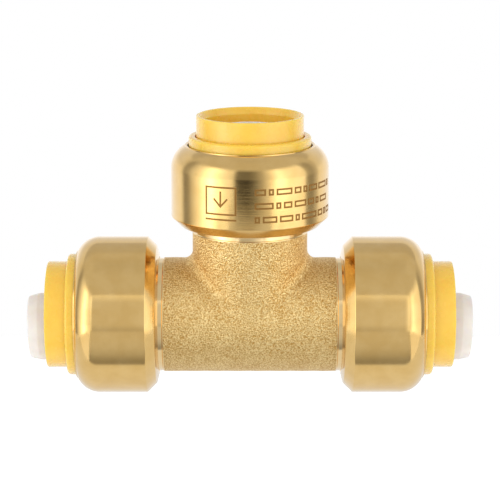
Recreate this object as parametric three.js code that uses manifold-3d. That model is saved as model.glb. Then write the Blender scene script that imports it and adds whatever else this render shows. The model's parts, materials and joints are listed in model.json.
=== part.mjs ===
// Push-to-connect tee for pipe of 15.88 mm outside diameter.
// A forged brass body carries three equal ports: two along X and one up Z. Each port holds, from the
// inside out, an O-ring, a spacer ring, a toothed grab ring, a cartridge ring and a sliding release
// collar, closed by a brass end cap, with a loose plastic liner that stiffens soft pipe.
import * as THREE from "three";
import { mergeVertices } from "three/addons/utils/BufferGeometryUtils.js";
import Module from "manifold-3d";

const wasm = await Module();
wasm.setup();

// Driving dimensions in millimetres. Every "at" is measured along a port from the point where the
// three port axes cross, and every "radius" from the port's own axis.
const segments = 28; // flats round every turned piece
const gap = 0.15; // clearance between pieces that touch or run on each other

const body = {
  barrelRadius: 9.8,
  branchRadius: 9.78,
  neckRadius: 9.6,
  neckStart: 14.6,
  shoulderAt: 16.1,
  bellRadius: 12.35,
  frontAt: 22.8,
  waterwayRadius: 6.2,
  branchWaterwayRadius: 6.1,
  recessRadius: 6.7,
  recessAt: 9.6,
  stopAt: 10.5,
  socketRadius: 8.15,
  sealSeatAt: 18.3,
  sealSeatRadius: 10.45,
};
const cap = {
  outerRadius: 13.42,
  innerRadius: 12.5,
  rearAt: 15.5,
  rearInnerRadius: 9.85,
  rearOuterRadius: 11.8,
  rearEdge: 0.5,
  chamferEndAt: 17.55,
  noseAt: 25.75,
  noseRadius: 4.15,
  lipRadius: 10.6,
};
const seal = { sectionRadius: 1.3, middleRadius: 9.05, middleAt: 19.75, sides: 8 };
const spacer = { innerRadius: 8.25, outerRadius: 10.25, rearAt: 21.2, hubAt: 21.45, frontAt: 22.6 };
const grab = {
  rimRadius: 12.1,
  bendRadius: 10.2,
  tipRadius: 7.6,
  rimAt: 22.95,
  tipAt: 21.45,
  thickness: 0.3,
  teeth: 16,
  slotWidth: 0.7,
  slotRadius: 9.7,
};
const cartridge = {
  rearAt: 23.4,
  rearRadius: 12.3,
  pocketRadius: 10.15,
  shoulderAt: 28.0,
  boreRadius: 9.25,
  noseRadius: 10.4,
  frontAt: 31.2,
  edge: 0.4,
};
const collar = {
  tipAt: 24.1,
  tipRadius: 8.75,
  flangeRearAt: 26.4,
  flangeFrontAt: 27.7,
  flangeRadius: 10.0,
  outerRadius: 9.1,
  boreRadius: 8.05,
  frontAt: 34.7,
  edge: 0.3,
  mouthRadius: 8.6,
  mouthDepth: 1.1,
};
const liner = {
  length: 23.0,
  flangeRadius: 6.4,
  flangeThickness: 0.8,
  barrelRadius: 5.9,
  taperStart: 14.0,
  tipRadius: 5.6,
  tipRounding: 0.6,
  boreRadius: 4.9,
};
const seatedFlangeAt = 9.7; // where a fully seated liner's flange is
const pulledFlangeAt = 14.9; // where a run liner's flange is: it is drawn out of its port a little
const restHeight = -1.341; // a drawn-out liner lies on the collar, so its flange sits this low
const restTilt = THREE.MathUtils.degToRad(2.26); // and its outer end dips by this angle

const brass = new THREE.MeshStandardMaterial({ color: 0xc9a24a, roughness: 0.3, metalness: 1 });
const forgedBrass = new THREE.MeshStandardMaterial({ color: 0xb8924a, roughness: 0.55, metalness: 1 });
const yellowPlastic = new THREE.MeshStandardMaterial({ color: 0xf5c33c, roughness: 0.45, metalness: 0 });
const whitePlastic = new THREE.MeshStandardMaterial({ color: 0xe8e2da, roughness: 0.4, metalness: 0 });
const greyPlastic = new THREE.MeshStandardMaterial({ color: 0x8a8d90, roughness: 0.5, metalness: 0 });
const rubber = new THREE.MeshStandardMaterial({ color: 0x1c1c1c, roughness: 0.8, metalness: 0 });
const steel = new THREE.MeshStandardMaterial({ color: 0xb9bcc0, roughness: 0.35, metalness: 1 });

// A solid of revolution about +Z from [radius, at] points that run round its section
// counterclockwise, starting and ending on the axis or closing on themselves.
function turned(points) {
  const profile = points.map(([radius, at]) => new THREE.Vector2(radius, at));
  const geometry = new THREE.LatheGeometry(profile, segments);
  geometry.rotateX(Math.PI / 2);
  geometry.deleteAttribute("normal");
  geometry.deleteAttribute("uv");
  return mergeVertices(geometry, 1e-4);
}

// A ring about +Z, from the corners of its section.
function ring(corners) {
  return turned([...corners, corners[0]]);
}

// Points on an arc of a section, between two angles in degrees: 0 points away from the axis, 90 along it.
function arc(radius, at, arcRadius, from, to, steps) {
  return Array.from({ length: steps + 1 }, (_, i) => {
    const angle = THREE.MathUtils.degToRad(from + ((to - from) * i) / steps);
    return [radius + arcRadius * Math.cos(angle), at + arcRadius * Math.sin(angle)];
  });
}

// The angle at which an arc centred at `centre` from the axis reaches `radius`.
function angleAt(centre, arcRadius, radius) {
  return THREE.MathUtils.radToDeg(Math.acos((radius - centre) / arcRadius));
}

function toSolid(geometry) {
  const merged = mergeVertices(geometry, 1e-4);
  const mesh = new wasm.Mesh({
    numProp: 3,
    vertProperties: new Float32Array(merged.attributes.position.array),
    triVerts: new Uint32Array(merged.index.array),
  });
  return new wasm.Manifold(mesh);
}

function toGeometry(solid) {
  const mesh = solid.getMesh();
  const geometry = new THREE.BufferGeometry();
  geometry.setAttribute("position", new THREE.BufferAttribute(mesh.vertProperties, mesh.numProp));
  geometry.setIndex(new THREE.BufferAttribute(mesh.triVerts, 1));
  return geometry;
}

function piece(name, geometry, material) {
  geometry.computeVertexNormals();
  const mesh = new THREE.Mesh(geometry, material);
  mesh.name = name;
  return mesh;
}

// Half of a port's outside, from the crossing to its front face.
function bodyOutline(barrelRadius) {
  return [
    [barrelRadius, body.neckStart],
    [body.neckRadius, body.neckStart + gap],
    [body.neckRadius, body.shoulderAt],
    [body.bellRadius, body.shoulderAt + body.bellRadius - body.neckRadius],
    [body.bellRadius, body.frontAt],
  ];
}

// Half of a port's hollow, from the waterway out past the front face.
function boreOutline(waterwayRadius) {
  const past = body.frontAt + 1;
  return [
    [waterwayRadius, body.recessAt],
    [body.recessRadius, body.recessAt],
    [body.recessRadius, body.stopAt],
    [body.socketRadius, body.stopAt],
    [body.socketRadius, body.sealSeatAt],
    [body.sealSeatRadius, body.sealSeatAt],
    [body.sealSeatRadius, past],
  ];
}

// Both halves of a profile that is the same on each side of the crossing.
function mirrored(half) {
  const last = half[half.length - 1][1];
  const back = half.map(([radius, at]) => [radius, -at]).reverse();
  return [[0, -last], ...back, ...half, [0, last]];
}

function onAxis(half) {
  return [[0, 0], [half[0][0], 0], ...half, [0, half[half.length - 1][1]]];
}

function teeBody() {
  const run = toSolid(turned(mirrored(bodyOutline(body.barrelRadius))).rotateY(Math.PI / 2));
  const branch = toSolid(turned(onAxis(bodyOutline(body.branchRadius))));
  const runBore = toSolid(turned(mirrored(boreOutline(body.waterwayRadius))).rotateY(Math.PI / 2));
  const branchBore = toSolid(turned(onAxis(boreOutline(body.branchWaterwayRadius))));
  const hollowed = run.add(branch).subtract(runBore.add(branchBore));
  return piece("tee_body", toGeometry(hollowed), forgedBrass);
}

function endCap() {
  const centre = cap.outerRadius - cap.noseRadius;
  const innerNose = cap.innerRadius - centre;
  const coneShift = gap * Math.SQRT2;
  const coneStart = body.shoulderAt + cap.rearInnerRadius - body.neckRadius - coneShift;
  return ring([
    [cap.rearInnerRadius, cap.rearAt],
    [cap.rearOuterRadius, cap.rearAt],
    [cap.rearOuterRadius + cap.rearEdge / 2, cap.rearAt + cap.rearEdge],
    [cap.outerRadius, cap.chamferEndAt],
    ...arc(centre, cap.noseAt, cap.noseRadius, 0, angleAt(centre, cap.noseRadius, cap.lipRadius), 5),
    ...arc(centre, cap.noseAt, innerNose, angleAt(centre, innerNose, cap.lipRadius), 0, 3),
    [cap.innerRadius, coneStart + cap.innerRadius - cap.rearInnerRadius],
    [cap.rearInnerRadius, coneStart],
  ]);
}

function oRing() {
  const section = arc(seal.middleRadius, seal.middleAt, seal.sectionRadius, 0, 360, seal.sides);
  return ring(section.slice(0, -1));
}

function spacerRing() {
  return ring([
    [spacer.innerRadius, spacer.rearAt],
    [spacer.outerRadius, spacer.rearAt],
    [spacer.outerRadius, spacer.frontAt],
    [spacer.innerRadius, spacer.hubAt],
  ]);
}

function grabRing() {
  const washer = ring([
    [grab.tipRadius, grab.tipAt],
    [grab.bendRadius, grab.rimAt],
    [grab.rimRadius, grab.rimAt],
    [grab.rimRadius, grab.rimAt + grab.thickness],
    [grab.bendRadius, grab.rimAt + grab.thickness],
    [grab.tipRadius, grab.tipAt + grab.thickness],
  ]);
  const slotStart = grab.tipRadius - 1;
  const slotLength = grab.slotRadius - slotStart;
  let toothed = toSolid(washer);
  for (let i = 0; i < grab.teeth; i++) {
    const slot = new THREE.BoxGeometry(slotLength, grab.slotWidth, 6);
    slot.deleteAttribute("normal");
    slot.deleteAttribute("uv");
    slot.translate(slotStart + slotLength / 2, 0, grab.rimAt);
    slot.rotateZ(((i + 0.5) * 2 * Math.PI) / grab.teeth);
    toothed = toothed.subtract(toSolid(slot));
  }
  return toGeometry(toothed);
}

function cartridgeRing() {
  const centre = cap.outerRadius - cap.noseRadius;
  const noseArc = cartridge.rearRadius - centre;
  return ring([
    [cartridge.pocketRadius, cartridge.rearAt],
    [cartridge.rearRadius, cartridge.rearAt],
    ...arc(centre, cap.noseAt, noseArc, 0, angleAt(centre, noseArc, cartridge.noseRadius), 3),
    [cartridge.noseRadius, cartridge.frontAt - cartridge.edge],
    [cartridge.noseRadius - cartridge.edge, cartridge.frontAt],
    [cartridge.boreRadius, cartridge.frontAt],
    [cartridge.boreRadius, cartridge.shoulderAt],
    [cartridge.pocketRadius, cartridge.shoulderAt],
  ]);
}

function releaseCollar() {
  return ring([
    [collar.boreRadius, collar.tipAt],
    [collar.tipRadius, collar.tipAt],
    [collar.flangeRadius, collar.flangeRearAt],
    [collar.flangeRadius, collar.flangeFrontAt],
    [collar.outerRadius, collar.flangeFrontAt],
    [collar.outerRadius, collar.frontAt - collar.edge],
    [collar.outerRadius - collar.edge, collar.frontAt],
    [collar.mouthRadius, collar.frontAt],
    [collar.boreRadius, collar.frontAt - collar.mouthDepth],
  ]);
}

// A liner, measured from its own flange: its axis is +Z and its flange starts at zero.
function pipeLiner() {
  return ring([
    [liner.boreRadius, 0],
    [liner.flangeRadius, 0],
    [liner.flangeRadius, liner.flangeThickness],
    [liner.barrelRadius, liner.flangeThickness],
    [liner.barrelRadius, liner.taperStart],
    [liner.tipRadius, liner.length - liner.tipRounding],
    [liner.tipRadius - liner.tipRounding / 2, liner.length],
    [liner.boreRadius, liner.length],
  ]);
}

// The pieces that sit on a port's own axis, with the port along +Z.
function portStack(name) {
  const stack = new THREE.Group();
  stack.add(piece(`${name}_end_cap`, endCap(), brass));
  stack.add(piece(`${name}_o_ring`, oRing(), rubber));
  stack.add(piece(`${name}_spacer_ring`, spacerRing(), greyPlastic));
  stack.add(piece(`${name}_grab_ring`, grabRing(), steel));
  stack.add(piece(`${name}_cartridge_ring`, cartridgeRing(), yellowPlastic));
  stack.add(piece(`${name}_release_collar`, releaseCollar(), yellowPlastic));
  return stack;
}

const tee = new THREE.Group();
tee.add(teeBody());

for (const [name, side] of [["left", -1], ["right", 1]]) {
  const stack = portStack(name);
  stack.rotation.y = (side * Math.PI) / 2;
  tee.add(stack);
  const drawnOut = piece(`${name}_pipe_liner`, pipeLiner(), whitePlastic);
  drawnOut.rotation.y = side * (Math.PI / 2 + restTilt);
  drawnOut.position.set(side * pulledFlangeAt, 0, restHeight);
  tee.add(drawnOut);
}

tee.add(portStack("top"));
const seated = piece("top_pipe_liner", pipeLiner(), whitePlastic);
seated.position.z = seatedFlangeAt;
tee.add(seated);

export default tee;
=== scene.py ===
"""Looks of a push-to-connect tee fitting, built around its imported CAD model.

Every turned piece is a fine surface of revolution about its port's axis, made in the port's own
frame (+Z outwards) and turned into place. The forged body is a blended skin cut by the real bores.
"""

import json
import math

import bmesh
import bpy
import numpy as np
from mathutils import Matrix, Vector


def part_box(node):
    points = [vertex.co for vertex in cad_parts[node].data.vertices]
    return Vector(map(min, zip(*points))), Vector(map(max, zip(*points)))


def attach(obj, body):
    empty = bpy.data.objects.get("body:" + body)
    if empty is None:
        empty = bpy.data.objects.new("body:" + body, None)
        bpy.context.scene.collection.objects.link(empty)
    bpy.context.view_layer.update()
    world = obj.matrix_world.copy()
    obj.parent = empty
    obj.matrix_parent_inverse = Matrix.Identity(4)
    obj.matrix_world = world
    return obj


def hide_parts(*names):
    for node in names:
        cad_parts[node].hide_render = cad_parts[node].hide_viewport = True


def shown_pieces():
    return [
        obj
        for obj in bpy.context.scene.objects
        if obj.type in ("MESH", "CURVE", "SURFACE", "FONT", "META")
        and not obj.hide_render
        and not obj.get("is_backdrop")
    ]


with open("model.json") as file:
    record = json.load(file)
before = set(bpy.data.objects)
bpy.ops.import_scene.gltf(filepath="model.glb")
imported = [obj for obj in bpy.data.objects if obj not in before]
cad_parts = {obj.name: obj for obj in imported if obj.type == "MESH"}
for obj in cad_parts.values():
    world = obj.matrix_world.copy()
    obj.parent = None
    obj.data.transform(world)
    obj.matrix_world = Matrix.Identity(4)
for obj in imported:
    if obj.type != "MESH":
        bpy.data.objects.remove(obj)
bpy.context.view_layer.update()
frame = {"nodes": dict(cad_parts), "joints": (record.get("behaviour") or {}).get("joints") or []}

MM = 0.001
PORTS = {
    "left": Matrix.Rotation(math.radians(-90), 4, "Y"),
    "right": Matrix.Rotation(math.radians(90), 4, "Y"),
    "top": Matrix.Identity(4),
}
TURNS = 160  # steps round a turned piece


# ---------------------------------------------------------------- sizes, in millimetres, from the frame


def span(node):
    """(start, end, radius) along the top port of one of its nodes."""
    low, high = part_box(node)
    return low.z / MM, high.z / MM, high.x / MM


cap_rear, cap_lip, cap_limit = span("top_end_cap")
cap_radius = cap_limit - 0.02  # leaves room for the marks inside the cap's own size
cartridge_rear, cartridge_front, cartridge_radius = span("top_cartridge_ring")
collar_tip, collar_front, flange_radius = span("top_release_collar")
grab_tip, grab_top, grab_radius = span("top_grab_ring")
spacer_rear, spacer_front, spacer_radius = span("top_spacer_ring")
seal_rear, seal_front, seal_radius = span("top_o_ring")
liner_start, liner_end, liner_flange = span("top_pipe_liner")
liner_length = liner_end - liner_start
body_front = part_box("tee_body")[1].z / MM

BARREL = 9.8  # radius of the forged run and branch
NECK = 9.72  # radius of the turned neck beside it
NECK_START = 14.65  # where the forged skin ends along a port
BELL = 12.35  # radius of the flared bell under an end cap
SHOULDER = 16.1
WATERWAY = 6.2
RECESS = 6.7
RECESS_AT = 9.6
STOP_AT = 10.5
SOCKET = 8.15
SEAL_SEAT = 10.45
SEAL_SEAT_AT = 18.3
FILLET = 1.6  # blend where the branch leaves the run


# ---------------------------------------------------------------- mesh helpers


def link(name, mesh):
    """A new object in the scene."""
    piece = bpy.data.objects.new(name, mesh)
    bpy.context.scene.collection.objects.link(piece)
    return piece


def mesh_piece(name, vertices, faces, sharp=35):
    """A piece from millimetre vertices, shaded smooth except where it bends by over `sharp` degrees."""
    mesh = bpy.data.meshes.new(name)
    mesh.from_pydata([[c * MM for c in v] for v in vertices], [], faces)
    mesh.validate()
    finish_mesh(mesh, sharp)
    return link(name, mesh)


def finish_mesh(mesh, sharp=35):
    """Turns every face outwards and shades the mesh smooth up to `sharp` degrees."""
    made = bmesh.new()
    made.from_mesh(mesh)
    bmesh.ops.recalc_face_normals(made, faces=made.faces)
    made.to_mesh(mesh)
    made.free()
    mesh.shade_smooth()
    mesh.set_sharp_from_angle(angle=math.radians(sharp))


def rounded(corners, steps=5):
    """A closed section from (radius, at, rounding) corners, with an arc of `rounding` at each one."""
    points = []
    for i, (r, z, rounding) in enumerate(corners):
        here = Vector((r, z))
        to_last = Vector(corners[i - 1][:2]) - here
        to_next = Vector(corners[(i + 1) % len(corners)][:2]) - here
        if rounding <= 0:
            points.append(here)
            continue
        angle = to_last.angle(to_next)
        reach = min(rounding / math.tan(angle / 2), 0.49 * to_last.length, 0.49 * to_next.length)
        a = here + to_last.normalized() * reach
        b = here + to_next.normalized() * reach
        for k in range(steps + 1):
            t = k / steps
            points.append(a * (1 - t) ** 2 + here * 2 * t * (1 - t) + b * t * t)
    return points


def arc(radius, at, size, start, end, steps=14):
    """Section points on an arc; 0 degrees points away from the axis and 90 along it."""
    angles = np.radians(np.linspace(start, end, steps + 1))
    return [Vector((radius + size * math.cos(a), at + size * math.sin(a))) for a in angles]


def revolve(name, section, sharp=35):
    """A closed ring about +Z from its closed section of (radius, at) points."""
    count = len(section)
    vertices, faces = [], []
    for i in range(TURNS):
        turn = 2 * math.pi * i / TURNS
        vertices += [(r * math.cos(turn), r * math.sin(turn), z) for r, z in section]
    for i in range(TURNS):
        near, far = i * count, (i + 1) % TURNS * count
        for k in range(count):
            m = (k + 1) % count
            faces.append((near + k, near + m, far + m, far + k))
    return mesh_piece(name, vertices, faces, sharp)


def place(piece, node, body, material, port=None):
    """Gives a piece its port's place, its material, the body it rides on and the node it stands for."""
    if port:
        piece.matrix_world = PORTS[port]
    piece.data.materials.append(material)
    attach(piece, body)
    if node:
        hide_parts(node)
    return piece


# ---------------------------------------------------------------- material helpers


class Shader:
    """A material's node tree, with a short way to add and join nodes."""

    def __init__(self, name, **sockets):
        self.material = bpy.data.materials.new(name)
        self.material.use_nodes = True
        self.tree = self.material.node_tree
        self.principled = self.tree.nodes["Principled BSDF"]
        for key, value in sockets.items():
            self.principled.inputs[key.replace("_", " ")].default_value = value

    def add(self, kind, inputs=(), **settings):
        node = self.tree.nodes.new("ShaderNode" + kind)
        for key, value in settings.items():
            setattr(node, key, value)
        for key, value in dict(inputs).items():
            self.set(node.inputs[key], value)
        return node

    def set(self, socket, value):
        if isinstance(value, bpy.types.NodeSocket):
            self.tree.links.new(value, socket)
        else:
            socket.default_value = value

    def math(self, operation, *values):
        return self.add("Math", dict(enumerate(values)), operation=operation).outputs[0]

    def noise(self, vector, scale, detail=3, roughness=0.5):
        inputs = {"Vector": vector, "Scale": scale, "Detail": detail, "Roughness": roughness}
        return self.add("TexNoise", inputs).outputs[0]

    def ramp(self, value, low, high, low_value, high_value):
        inputs = {0: value, 1: low, 2: high, 3: low_value, 4: high_value}
        return self.add("MapRange", inputs).outputs[0]

    def mix(self, factor, a, b):
        node = self.add("Mix", data_type="RGBA")
        self.set(node.inputs[0], factor)
        self.set(node.inputs[6], a)
        self.set(node.inputs[7], b)
        return node.outputs[2]

    def bump(self, height, distance, strength=1.0, normal=None):
        inputs = {"Height": height, "Distance": distance * MM, "Strength": strength}
        if normal:
            inputs["Normal"] = normal
        return self.add("Bump", inputs).outputs[0]

    def plug(self, key, value):
        self.set(self.principled.inputs[key], value)

    def object_mm(self):
        """Object coordinates in millimetres."""
        coordinates = self.add("TexCoord").outputs["Object"]
        return self.add("VectorMath", {0: coordinates, "Scale": 1 / MM}, operation="SCALE").outputs[0]

    def turned_lines(self, position, per_mm, wander=0.4):
        """Noise that runs in rings round +Z, as a lathe tool leaves it."""
        xyz = self.add("SeparateXYZ", {0: position}).outputs
        radius = self.math("SQRT", self.math("ADD", self.math("MULTIPLY", xyz[0], xyz[0]),
                                             self.math("MULTIPLY", xyz[1], xyz[1])))
        angle = self.math("MULTIPLY", self.math("ARCTAN2", xyz[1], xyz[0]), wander)
        along = self.math("MULTIPLY", self.math("ADD", xyz[2], self.math("MULTIPLY", radius, 0.7)), per_mm)
        vector = self.add("CombineXYZ", {0: along, 1: self.math("SINE", angle), 2: radius}).outputs[0]
        return self.noise(vector, 1.0, detail=4, roughness=0.65)


def colour(r, g, b):
    """A linear colour from sRGB values of 0 to 255."""
    linear = [c / 3294.6 if c <= 10 else ((c / 255 + 0.055) / 1.055) ** 2.4 for c in (r, g, b)]
    return (*linear, 1.0)


# ---------------------------------------------------------------- materials


def turned_brass(name, light, dark, roughness):
    """Bright lacquered brass off the lathe: faint turning lines and a slow drift between two colours."""
    s = Shader(name, Metallic=1.0, Coat_Weight=0.5, Coat_Roughness=0.12, Coat_IOR=1.5)
    at = s.object_mm()
    fine = s.turned_lines(at, 9.0, wander=0.2)
    blotch = s.noise(at, 0.35, detail=3)
    drift = s.ramp(blotch, 0.35, 0.65, 0, 1)
    s.plug("Base Color", s.mix(drift, dark, light))
    s.plug("Roughness", s.math("ADD", s.ramp(fine, 0.3, 0.7, roughness - 0.03, roughness + 0.05),
                               s.ramp(blotch, 0.35, 0.65, -0.005, 0.01)))
    s.plug("Normal", s.bump(fine, 0.007, 0.8))
    return s.material


def forged_brass():
    """Brass as forged and blasted: a coarse grain of light and dark facets with small pits; the facets'
    colour is partly the brass's own random tone and partly painted glints.
    """
    s = Shader("blasted_forged_brass", Metallic=1.0)
    at = s.object_mm()
    grain = s.noise(at, 4.2, detail=1, roughness=0.6)
    pits = s.noise(at, 7.0, detail=1, roughness=0.5)
    patch = s.noise(at, 0.3, detail=2)
    grain_tone_and_painted_glint = s.math("ADD", s.ramp(grain, 0.38, 0.62, 0.0, 1.0), s.ramp(patch, 0.35, 0.65, -0.1, 0.1))
    # Base colour: the blasted grain's random tone, with its palest facets as painted glints.
    s.plug("Base Color", s.mix(grain_tone_and_painted_glint, colour(203, 158, 86), colour(248, 222, 160)))
    s.plug("Roughness", s.ramp(pits, 0.3, 0.7, 0.34, 0.5))
    s.plug("Normal", s.bump(pits, 0.05, 0.6, s.bump(grain, 0.24, 1.0)))
    return s.material


def moulded_plastic(name, light, dark, roughness, subsurface, reach, gloss=0.0):
    """Moulded plastic with slight mottling, tiny flow lines and light that enters the surface.

    `reach` is how far the light goes in, in millimetres, and `gloss` the strength of a polished skin.
    """
    s = Shader(name, Subsurface_Weight=subsurface, Subsurface_Scale=reach * MM, IOR=1.48,
               Coat_Weight=gloss, Coat_Roughness=0.25)
    s.principled.inputs["Subsurface Radius"].default_value = (1.0, 0.7, 0.35)
    at = s.object_mm()
    mottle = s.noise(at, 0.5, detail=3)
    skin = s.noise(at, 9.0, detail=2)
    flow = s.turned_lines(at, 2.0)
    s.plug("Base Color", s.mix(s.ramp(mottle, 0.35, 0.65, 0, 1), light, dark))
    s.plug("Roughness", s.ramp(mottle, 0.3, 0.7, roughness - 0.03, roughness + 0.05))
    s.plug("Normal", s.bump(skin, 0.002, 0.4, s.bump(flow, 0.003, 0.3)))
    return s.material


def seal_rubber():
    """Black rubber with a dusty bloom."""
    s = Shader("seal_rubber", IOR=1.5)
    at = s.object_mm()
    dust = s.noise(at, 2.0, detail=4)
    s.plug("Base Color", s.mix(s.ramp(dust, 0.4, 0.7, 0, 1), colour(22, 22, 23), colour(44, 44, 45)))
    s.plug("Roughness", s.ramp(dust, 0.3, 0.7, 0.38, 0.6))
    s.plug("Normal", s.bump(s.noise(at, 12.0, detail=2), 0.01, 0.4))
    return s.material


def spring_steel():
    """Thin stainless steel with the lines of its stamping."""
    s = Shader("spring_steel", Metallic=1.0)
    at = s.object_mm()
    grain = s.turned_lines(at, 6.0)
    s.plug("Base Color", s.mix(grain, colour(186, 188, 192), colour(222, 223, 225)))
    s.plug("Roughness", s.ramp(grain, 0.3, 0.7, 0.22, 0.36))
    s.plug("Normal", s.bump(grain, 0.006, 0.5))
    return s.material


def etched_mark():
    """Dull, darkened brass where a mark is etched."""
    s = Shader("etched_mark", Metallic=1.0)
    at = s.object_mm()
    grain = s.noise(at, 6.0, detail=3)
    s.plug("Base Color", s.mix(grain, colour(150, 106, 52), colour(188, 144, 80)))
    s.plug("Roughness", s.ramp(grain, 0.3, 0.7, 0.5, 0.7))
    s.plug("Normal", s.bump(grain, 0.01, 0.5))
    return s.material


CAP_BRASS = turned_brass("turned_brass", colour(237, 199, 127), colour(231, 191, 116), 0.12)
# A paler, whiter copy of the turned brass for the neck, shoulder and bell: the paleness is painted sheen
# standing in for their brighter reflections.
NECK_BRASS_WITH_PAINTED_SHEEN = turned_brass("turned_neck_brass", colour(243, 213, 158), colour(237, 206, 148), 0.09)
BODY_BRASS = forged_brass()
YELLOW = moulded_plastic("yellow_acetal", colour(248, 204, 72), colour(246, 199, 62), 0.26, 0.5, 1.3, 0.8)
GREY = moulded_plastic("grey_acetal", colour(150, 153, 156), colour(138, 141, 144), 0.42, 0.05, 0.5)
WHITE = moulded_plastic("natural_plastic", colour(238, 232, 227), colour(232, 225, 219), 0.32, 0.35, 1.5)
RUBBER = seal_rubber()
STEEL = spring_steel()
MARK = etched_mark()


# ---------------------------------------------------------------- the forged body


def forged_skin(points):
    """Signed distance to the blended run and branch, at an array of millimetre points."""
    x, y, z = points.T
    run_r = np.hypot(y, z)
    branch_r = np.hypot(x, y)
    run = run_r - BARREL
    branch = np.maximum(branch_r - BARREL, -z)
    facing = y * y / np.maximum(run_r * branch_r, 1e-6)
    blend = FILLET * (1 - facing) + 0.02
    inside = np.hypot(np.maximum(blend - run, 0), np.maximum(blend - branch, 0))
    ripple = 0.02 * np.sin(1.7 * x + 0.8 * z) * np.sin(1.3 * y - 1.1 * z + 0.6)
    return np.maximum(blend, np.minimum(run, branch)) - inside - ripple


def settle(mesh, field, rounds=4):
    """Moves a mesh's vertices onto a field's zero surface."""
    points = np.empty(len(mesh.vertices) * 3)
    mesh.vertices.foreach_get("co", points)
    points = points.reshape(-1, 3) / MM
    small = 1e-3
    for _ in range(rounds):
        value = field(points)
        slope = np.stack([(field(points + small * axis) - value) / small for axis in np.eye(3)], axis=1)
        step = (value / np.maximum((slope**2).sum(1), 1e-6))[:, None] * slope
        points -= np.clip(step, -0.5, 0.5)
    mesh.vertices.foreach_set("co", (points * MM).ravel())


def apply_modifiers(piece):
    """Turns a piece's modifiers into its mesh."""
    evaluated = piece.evaluated_get(bpy.context.evaluated_depsgraph_get())
    mesh = bpy.data.meshes.new_from_object(evaluated)
    piece.modifiers.clear()
    piece.data = mesh


def port_cutter(port):
    """What is cut from the skin along one port: the waterway, the socket and all beyond the neck."""
    past = NECK_START + 8
    wide = BARREL + 4
    section = [
        (0.0, -0.5), (WATERWAY, -0.5), (WATERWAY, RECESS_AT), (RECESS, RECESS_AT), (RECESS, STOP_AT),
        (SOCKET, STOP_AT), (SOCKET, NECK_START), (wide, NECK_START), (wide, past), (0.0, past),
    ]
    vertices = [(0, 0, section[0][1]), (0, 0, section[-1][1])]
    faces = []
    walls = section[1:-1]
    count = len(walls)
    for i in range(TURNS):
        turn = 2 * math.pi * i / TURNS
        vertices += [(r * math.cos(turn), r * math.sin(turn), z) for r, z in walls]
    for i in range(TURNS):
        near, far = 2 + i * count, 2 + (i + 1) % TURNS * count
        faces.append((0, far, near))
        faces.append((1, near + count - 1, far + count - 1))
        faces += [(near + k, far + k, far + k + 1, near + k + 1) for k in range(count - 1)]
    cutter = mesh_piece(f"{port}_cutter", vertices, faces)
    cutter.matrix_world = PORTS[port]
    return cutter


def forged_body():
    """The blasted forging: a cross of rough bars, remeshed finely, settled on the skin and bored."""
    rough = bmesh.new()
    reach = (NECK_START + 1.5) * MM
    for turn, start in ((PORTS["right"], -reach), (PORTS["top"], 0.0)):
        bar = bmesh.ops.create_cone(rough, cap_ends=True, segments=64, radius1=BARREL * MM,
                                    radius2=BARREL * MM, depth=reach - start)
        shift = Matrix.Translation((0, 0, (reach + start) / 2))
        bmesh.ops.transform(rough, matrix=turn @ shift, verts=bar["verts"])
    mesh = bpy.data.meshes.new("forged_body")
    rough.to_mesh(mesh)
    rough.free()
    piece = link("forged_body", mesh)
    remesh = piece.modifiers.new("remesh", "REMESH")
    remesh.mode = "VOXEL"
    remesh.voxel_size = 0.34 * MM
    apply_modifiers(piece)
    settle(piece.data, forged_skin)
    cutters = [port_cutter(port) for port in PORTS]
    for cutter in cutters:
        cut = piece.modifiers.new(cutter.name, "BOOLEAN")
        cut.operation = "DIFFERENCE"
        cut.solver = "EXACT"
        cut.object = cutter
    bpy.context.view_layer.update()
    apply_modifiers(piece)
    for cutter in cutters:
        bpy.data.objects.remove(cutter)
    finish_mesh(piece.data, 40)
    return place(piece, "tee_body", "fitting", BODY_BRASS)


def port_bell(port):
    """The turned end of the body: neck, shoulder and bell, with the O-ring's seat bored in it."""
    bell_start = SHOULDER + BELL - NECK  # the shoulder is a 45 degree cone
    section = rounded([
        (SOCKET, NECK_START, 0.0),
        (BARREL, NECK_START, 0.0),
        (BARREL, NECK_START + 0.1, 0.08),
        (NECK, NECK_START + 0.25, 0.12),
        (NECK, SHOULDER, 0.3),
        (BELL, bell_start, 0.4),
        (BELL, body_front, 0.3),
        (SEAL_SEAT, body_front, 0.25),
        (SEAL_SEAT, SEAL_SEAT_AT, 0.1),
        (SOCKET, SEAL_SEAT_AT, 0.3),
    ])
    return place(revolve(f"{port}_port_bell", section), None, "fitting", NECK_BRASS_WITH_PAINTED_SHEEN, port)


# ---------------------------------------------------------------- the pieces of a port


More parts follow.
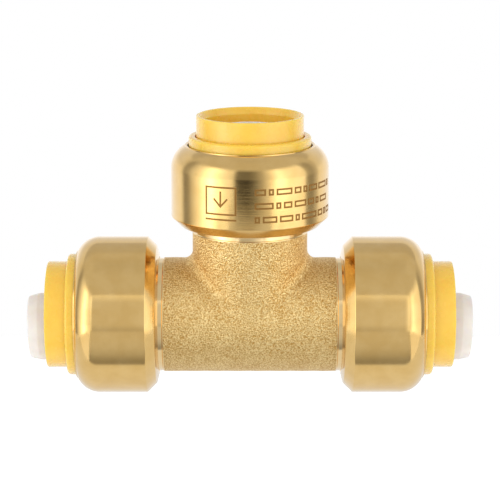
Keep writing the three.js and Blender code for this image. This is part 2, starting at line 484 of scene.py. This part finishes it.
def end_cap(port):
    """A crimped brass cap: conical rear skirt, straight band and rolled nose, one wall thick."""
    wall = 0.92
    hem = 9.95  # radius of the skirt's rear edge, crimped in behind the bell
    fold = 11.85  # radius where the hem turns into the skirt's cone
    skirt_length = 2.05
    nose = 4.15  # radius of the rolled nose
    nose_start = cap_rear + 10.25
    nose_centre = cap_radius - nose
    lip = 10.6  # radius of the mouth
    lip_face = cap_lip - 0.02
    out_end = math.degrees(math.acos((lip + 0.42 - nose_centre) / nose))
    in_end = math.degrees(math.acos((lip + 0.1 - nose_centre) / (nose - wall)))
    section = rounded([
        (hem - 0.1, cap_rear + 0.75, 0.0),
        (hem, cap_rear, 0.3),
        (fold, cap_rear + 0.48, 0.5),
        (cap_radius, cap_rear + skirt_length, 0.22),
        (cap_radius, nose_start - 0.3, 0.0),
    ])
    section += arc(nose_centre, nose_start, nose, 0, out_end, 24)
    section += [Vector((lip + 0.36, lip_face)), Vector((lip + 0.08, lip_face))]
    section += [Vector((lip, lip_face - 0.08)), Vector((lip, lip_face - 0.32))]
    section += arc(nose_centre, nose_start, nose - wall, in_end, 0, 10)
    section += [Vector((cap_radius - wall, cap_rear + 3.3))]
    return place(revolve(f"{port}_end_cap_shell", section, 28), f"{port}_end_cap", "fitting",
                 CAP_BRASS, port)


def cartridge_ring(port):
    """The fixed yellow ring in the cap's mouth, with a rounded rim."""
    outer = 10.4  # radius of the part that stands in the cap's mouth
    bore = 9.25
    pocket = 10.15  # radius of the room behind, where the collar's flange slides
    shoulder = cartridge_front - 3.2
    hidden = cartridge_front - 5.45
    mouth = cartridge_front - 2.64
    section = rounded([
        (pocket, cartridge_rear, 0.2),
        (cartridge_radius, cartridge_rear, 0.3),
        (cartridge_radius, hidden, 1.5),
        (outer, mouth, 0.3),
        (outer, cartridge_front, 0.6),
        (bore, cartridge_front, 0.3),
        (bore, shoulder, 0.1),
        (pocket, shoulder, 0.1),
    ], steps=8)
    return place(revolve(f"{port}_cartridge_rim", section), f"{port}_cartridge_ring", "fitting",
                 YELLOW, port)


def release_collar(port):
    """The sliding yellow collar, with a lead-in at its mouth and a conical nose that meets the teeth."""
    outer = 9.1
    bore = 8.05
    lead_in = 8.66  # radius where the mouth's cone starts
    lead_in_depth = 1.1
    flange_start, flange_end = collar_tip + 2.3, collar_tip + 3.6
    section = rounded([
        (bore, collar_tip, 0.1),
        (8.12, collar_tip, 0.04),  # from here the cone stays clear of the teeth, collar pressed in or not
        (8.9, collar_tip + 0.55, 0.2),
        (flange_radius, flange_start, 0.3),
        (flange_radius, flange_end, 0.15),
        (outer, flange_end, 0.1),
        (outer, collar_front, 0.32),
        (lead_in, collar_front, 0.12),
        (bore, collar_front - lead_in_depth, 0.4),
    ], steps=8)
    return place(revolve(f"{port}_release_sleeve", section), f"{port}_release_collar",
                 f"{port}_release_collar", YELLOW, port)


def o_ring(port):
    """The rubber seal, a plain torus in its seat."""
    section_radius = (seal_front - seal_rear) / 2
    middle = (seal_front + seal_rear) / 2
    section = arc(seal_radius - section_radius, middle, section_radius, 0, 360, 24)[:-1]
    return place(revolve(f"{port}_seal_ring", section, 80), f"{port}_o_ring", "fitting",
                 RUBBER, port)


def spacer_ring(port):
    """The ring that keeps the O-ring in its seat, with a front face that slopes like the teeth."""
    bore = 8.25
    section = rounded([
        (bore, spacer_rear, 0.1),
        (spacer_radius, spacer_rear, 0.15),
        (spacer_radius, spacer_front, 0.1),
        (bore, spacer_rear + 0.25, 0.1),
    ])
    return place(revolve(f"{port}_seal_spacer", section), f"{port}_spacer_ring", "fitting",
                 GREY, port)


def grab_ring(port):
    """A flat steel rim with teeth bent inwards, made as a thin plate of radial cells."""
    teeth = 16
    cells = 10  # angular cells per tooth, the last two of them the slot
    thickness = 0.3
    tip = 7.6  # radius that the teeth reach in to
    bend = 10.2  # radius where they leave the flat rim
    radii = [tip, 8.0, 8.6, 9.2, 9.7, bend, 11.2, grab_radius]
    slot_rings = 4  # the slots between the teeth run over the first four rings of cells
    rim = grab_top - thickness
    around = teeth * cells

    def is_solid(i, j):
        return 0 <= j < len(radii) - 1 and (i % cells < cells - 2 or j >= slot_rings)

    def at(i, j, side):
        r = radii[j]
        turn = 2 * math.pi * (i + 1) / around
        low = rim if r >= bend else rim - (bend - r) * (rim - grab_tip) / (bend - tip)
        return (r * math.cos(turn), r * math.sin(turn), low + side * thickness)

    index, vertices, faces = {}, [], []

    def corner(i, j, side):
        key = (i % around, j, side)
        if key not in index:
            index[key] = len(vertices)
            vertices.append(at(*key))
        return index[key]

    for i in range(around):
        for j in range(len(radii) - 1):
            if not is_solid(i, j):
                continue
            ring = [(i, j), (i + 1, j), (i + 1, j + 1), (i, j + 1)]
            faces.append([corner(*c, 1) for c in ring])
            faces.append([corner(*c, 0) for c in reversed(ring)])
            sides = [(i, j - 1), (i + 1, j), (i, j + 1), (i - 1, j)]
            for k, beyond in enumerate(sides):
                if not is_solid(*beyond):
                    a, b = ring[k], ring[(k + 1) % 4]
                    faces.append([corner(*a, 0), corner(*b, 0), corner(*b, 1), corner(*a, 1)])
    return place(mesh_piece(f"{port}_toothed_washer", vertices, faces), f"{port}_grab_ring",
                 f"{port}_grab_ring", STEEL, port)


def pipe_liner(port):
    """The loose white sleeve, laid along its own slide's axis where the CAD sleeve lies."""
    node = f"{port}_pipe_liner"
    joint = next(j for j in frame["joints"] if j["child"] == node)
    axis = Vector(joint["axis"]).normalized()
    corners = [v.co for v in frame["nodes"][node].data.vertices]
    start = min(c.dot(axis) for c in corners)
    rear = [c for c in corners if c.dot(axis) < start + 0.01 * MM]
    centre = sum(rear, Vector()) / len(rear)
    barrel = 5.9
    bore = 4.9
    flange = 0.8
    taper_start = 14.0
    chamfer = 1.7
    section = rounded([
        (bore, 0.0, 0.2),
        (liner_flange, 0.0, 0.2),
        (liner_flange, flange, 0.2),
        (barrel, flange, 0.15),
        (barrel, taper_start, 2.0),
        (5.72, liner_length - chamfer, 0.6),
        (5.28, liner_length, 0.5),
        (bore, liner_length, 0.15),
    ], steps=8)
    piece = revolve(f"{port}_pipe_stiffener", section)
    piece.data.transform(Matrix.Translation(centre) @ axis.to_track_quat("Z", "Y").to_matrix().to_4x4())
    return place(piece, node, node, WHITE)


# ---------------------------------------------------------------- generic marks on the top cap


def cap_marks():
    """Etched marks on the top cap: an insertion pictogram and rows of dashes, with no lettering."""
    radius = cap_limit - 0.004
    thickness = 0.035
    line = 0.3  # width of a stroke
    strokes = []

    def stroke(*points):
        """A line through (along the cap's round, height) points."""
        strokes.extend(zip(points, points[1:]))

    left, right, low, high = -7.6, -2.4, 18.9, 24.6
    middle = (left + right) / 2
    stroke((left, low + 1.2), (left, high), (right, high), (right, low + 1.2), (left, low + 1.2))
    stroke((middle, high - 0.8), (middle, low + 2.6))
    stroke((middle - 1.1, low + 3.7), (middle, low + 2.5), (middle + 1.1, low + 3.7))
    stroke((left, low + 0.3), (right, low + 0.3))
    rows = {
        23.9: (1.6, 0.6, 2.6, 1.1, 0.6, 1.9, 2.6, 0.6),
        21.6: (2.9, 0.6, 1.3, 2.2, 1.3, 0.6, 2.4),
        19.3: (0.6, 2.2, 2.2, 0.6, 3.4, 1.3, 0.6, 1.6),
    }
    half, gap = 0.4, 0.75
    for at, dashes in rows.items():
        x = 0.9
        for length in dashes:
            end = x + length
            stroke((x, at - half), (x, at + half), (end, at + half), (end, at - half), (x, at - half))
            x = end + gap

    vertices, faces = [], []
    for a, b in strokes:
        a, b = Vector(a), Vector(b)
        along = (b - a).normalized() * line / 2
        across = Vector((-along.y, along.x))
        a, b = a - along, b + along
        steps = max(1, round(abs(b.x - a.x) / 0.4))
        first = len(vertices)
        for k in range(steps + 1):
            point = a.lerp(b, k / steps)
            for offset, r in ((across, radius), (-across, radius), (-across, radius - thickness),
                              (across, radius - thickness)):
                turn = (point.x + offset.x) / cap_radius - math.pi / 2
                vertices.append((r * math.cos(turn), r * math.sin(turn), point.y + offset.y))
        for k in range(steps):
            near, far = first + 4 * k, first + 4 * (k + 1)
            faces += [(near + i, near + (i + 1) % 4, far + (i + 1) % 4, far + i) for i in range(4)]
        last = first + 4 * steps
        faces += [(first + 3, first + 2, first + 1, first), (last, last + 1, last + 2, last + 3)]
    return place(mesh_piece("top_cap_marks", vertices, faces), None, "fitting", MARK)


forged_body()
for port in PORTS:
    port_bell(port)
    end_cap(port)
    cartridge_ring(port)
    release_collar(port)
    o_ring(port)
    spacer_ring(port)
    grab_ring(port)
    pipe_liner(port)
cap_marks()


# ---------------------------------------------------------------- stage, light and camera

FLOOR_AT = -0.085  # the fitting is held up by its pipes in use, so the floor lies well below it


def stage_floor():
    """A wide, pale, matt floor."""
    half = 300
    corners = [(-half, -half, 0), (half, -half, 0), (half, half, 0), (-half, half, 0)]
    floor = mesh_piece("floor", corners, [(0, 1, 2, 3)])
    floor.location.z = FLOOR_AT
    s = Shader("pale_floor", Roughness=0.9)
    s.principled.inputs["Base Color"].default_value = (0.9, 0.9, 0.9, 1.0)
    s.principled.inputs["Emission Color"].default_value = (1.0, 0.99, 0.97, 1.0)
    s.principled.inputs["Emission Strength"].default_value = 0.4
    floor.data.materials.append(s.material)
    floor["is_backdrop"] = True


def under_card():
    """A graded grey card below, seen only in reflections, which shades the underside of the brass."""
    level, back, edge, front = -60, 200, -36, -310
    corners = [(-200, back, level), (200, back, level), (200, edge, level), (60, edge, level),
               (175, front, level), (-175, front, level), (-60, edge, level), (-200, edge, level)]
    card = mesh_piece("under_card", corners, [(0, 1, 2, 3, 6, 7), (3, 4, 5, 6)])
    s = Shader("under_card", Roughness=1.0)
    s.principled.inputs["Base Color"].default_value = (0.0, 0.0, 0.0, 1.0)
    s.principled.inputs["Specular IOR Level"].default_value = 0.0
    s.principled.inputs["Emission Color"].default_value = (1.0, 1.0, 1.0, 1.0)
    tones = [(back, 0.84), (edge, 0.84), (edge - 2, 0.3), (-50, 0.38), (-63, 0.52), (-90, 0.64), (-145, 0.69)]
    grey = ramp_of(s.tree.nodes, [((back - at) / (back - front), tone) for at, tone in tones])
    depth = s.add("SeparateXYZ", {0: s.object_mm()}).outputs[1]
    s.set(grey.inputs[0], s.ramp(depth, back, front, 0, 1))
    s.plug("Emission Strength", grey.outputs[0])
    card.data.materials.append(s.material)
    card.visible_camera = False
    card.visible_diffuse = False
    card.visible_shadow = False
    card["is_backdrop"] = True


def softbox(name, azimuth, elevation, distance, width, height, brightness):
    """A soft panel light that faces the fitting. Azimuth 0 is in front of it and 90 on its right."""
    light = bpy.data.lights.new(name, "AREA")
    light.shape = "RECTANGLE"
    light.size = width
    light.size_y = height
    light.energy = brightness * math.pi * width * height
    lamp = bpy.data.objects.new(name, light)
    bpy.context.scene.collection.objects.link(lamp)
    a, e = math.radians(azimuth), math.radians(elevation)
    towards = Vector((math.sin(a) * math.cos(e), -math.cos(a) * math.cos(e), math.sin(e)))
    lamp.location = towards * distance
    lamp.rotation_mode = "QUATERNION"
    lamp.rotation_quaternion = towards.to_track_quat("Z", "Y")
    lamp.visible_camera = False
    return lamp


def ramp_of(nodes, stops):
    """A grey ramp node from (position, brightness) stops."""
    ramp = nodes.new("ShaderNodeValToRGB")
    while len(ramp.color_ramp.elements) > 1:
        ramp.color_ramp.elements.remove(ramp.color_ramp.elements[-1])
    for i, (position, value) in enumerate(stops):
        element = ramp.color_ramp.elements[0] if i == 0 else ramp.color_ramp.elements.new(position)
        element.position = position
        element.color = (value, value, value, 1.0)
    return ramp


# What surrounds the fitting, as brightness by angle in degrees: (angle, brightness) stops. Azimuth 0 is
# in front and 90 on the right. PANELS is the ring of side panels and gaps, and PANEL_SHARE says how far
# they replace the plain surround at each elevation.
AROUND = [(-90, 0.9), (-42, 0.7), (-38, 0.66), (70, 0.66), (90, 0.6)]
BEHIND = [(-90, 0.9), (-16, 1.05), (4, 1.05), (14, 0.82), (34, 0.82), (37, 0.57), (90, 0.6)]
PANEL_SHARE = [(-90, 0.0), (-42, 0.0), (-36, 1.0), (-8, 1.0), (-2, 0.75), (32, 0.75), (44, 0.0), (90, 0.0)]
PANELS = [(-180, 0.6), (-116, 0.6), (-109, 0.3), (-101, 0.4), (-94, 0.75), (-80, 1.35), (-70, 2.1),
          (-58, 3.2), (-47, 2.1), (-36, 1.4), (-25, 1.1), (-20, 0.06), (-2, 0.05), (8, 0.2), (20, 0.6),
          (30, 1.2), (43, 2.2), (60, 1.6), (86, 1.3), (91, 0.4), (102, 0.3), (112, 0.6), (180, 0.6)]
MOST = 3.2


def studio_world():
    """Soft surround: white to the eye, and in reflections the panels and gaps of a studio."""
    world = bpy.data.worlds.new("studio")
    bpy.context.scene.world = world
    world.use_nodes = True
    nodes, links = world.node_tree.nodes, world.node_tree.links

    def math_node(operation, *values):
        node = nodes.new("ShaderNodeMath")
        node.operation = operation
        for socket, value in zip(node.inputs, values):
            if isinstance(value, bpy.types.NodeSocket):
                links.new(value, socket)
            else:
                socket.default_value = value
        return node.outputs[0]

    xyz = nodes.new("ShaderNodeSeparateXYZ")
    links.new(nodes.new("ShaderNodeTexCoord").outputs["Generated"], xyz.inputs[0])
    x, y, z = xyz.outputs
    elevation = math_node("MULTIPLY_ADD", math_node("ARCSINE", z), 1 / math.pi, 0.5)
    azimuth = math_node("MULTIPLY_ADD", math_node("ARCTAN2", x, math_node("MULTIPLY", y, -1.0)),
                        1 / (2 * math.pi), 0.5)

    def by(angle, table, full):
        ramp = ramp_of(nodes, [(degrees / full + 0.5, value / MOST) for degrees, value in table])
        links.new(angle, ramp.inputs[0])
        return math_node("MULTIPLY", ramp.outputs[0], MOST)

    def blend(a, b, share):
        return math_node("MULTIPLY_ADD", math_node("SUBTRACT", b, a), share, a)

    front = blend(by(elevation, AROUND, 180), by(azimuth, PANELS, 360), by(elevation, PANEL_SHARE, 180))
    share = math_node("MINIMUM", math_node("MAXIMUM", math_node("MULTIPLY_ADD", y, 8.0, -3.0), 0.0), 1.0)
    brightness = blend(front, by(elevation, BEHIND, 180), share)

    around = nodes["Background"]
    around.inputs["Color"].default_value = (1, 1, 1, 1)
    links.new(brightness, around.inputs["Strength"])
    seen = nodes.new("ShaderNodeBackground")
    seen.inputs["Color"].default_value = (1, 1, 1, 1)
    choose = nodes.new("ShaderNodeMixShader")
    links.new(nodes.new("ShaderNodeLightPath").outputs["Is Camera Ray"], choose.inputs[0])
    links.new(around.outputs[0], choose.inputs[1])
    links.new(seen.outputs[0], choose.inputs[2])
    links.new(choose.outputs[0], nodes["World Output"].inputs[0])


def light_only(lamp, pieces):
    """Keeps a light to some of the pieces."""
    receivers = bpy.data.collections.new(f"{lamp.name}_receivers")
    for piece in pieces:
        receivers.objects.link(piece)
    lamp.light_linking.receiver_collection = receivers


def panels():
    """A front panel, side lights and a soft lift for the plastic, each kept to the pieces it is for."""
    front = softbox("front_fill", 0, 15, 0.33, 0.36, 0.33, 0.5)
    light_only(front, [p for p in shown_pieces() if p.name not in ("top_end_cap_shell", "top_cap_marks")])
    for side in (-1, 1):
        kicker = softbox(f"kicker_{side}", side * 94, 24, 0.4, 0.24, 0.16, 4.6)
        light_only(kicker, [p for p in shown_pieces() if p.name == "forged_body"])
        skirt = softbox(f"skirt_{side}", side * 112, 12, 0.4, 0.5, 0.4, 0.35)
        facing = "left_end_cap_shell" if side > 0 else "right_end_cap_shell"
        light_only(skirt, [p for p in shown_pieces() if p.name == facing])
    lift = softbox("plastic_lift", 0, 60, 0.6, 0.6, 0.6, 0.36)
    lift.visible_glossy = False
    plastic = ("release_sleeve", "cartridge_rim", "pipe_stiffener")
    light_only(lift, [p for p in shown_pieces() if p.name.endswith(plastic)])


def camera():
    """A long lens in front of the fitting, looking slightly down on it."""
    view = bpy.data.cameras.new("camera")
    view.sensor_width = 36.0
    view.lens = 151.4
    view.clip_start = 0.01
    view.clip_end = 20.0
    eye = bpy.data.objects.new("camera", view)
    bpy.context.scene.collection.objects.link(eye)
    target = Vector((0.0, 0.0, 0.0113))
    pitch = math.radians(12.72)
    back = Vector((0.0, -math.cos(pitch), math.sin(pitch)))
    eye.location = target + back * 0.360
    eye.rotation_mode = "QUATERNION"
    eye.rotation_quaternion = back.to_track_quat("Z", "Y")
    bpy.context.scene.camera = eye


stage_floor()
under_card()
studio_world()
panels()
camera()
bpy.context.scene.view_settings.view_transform = "Standard"
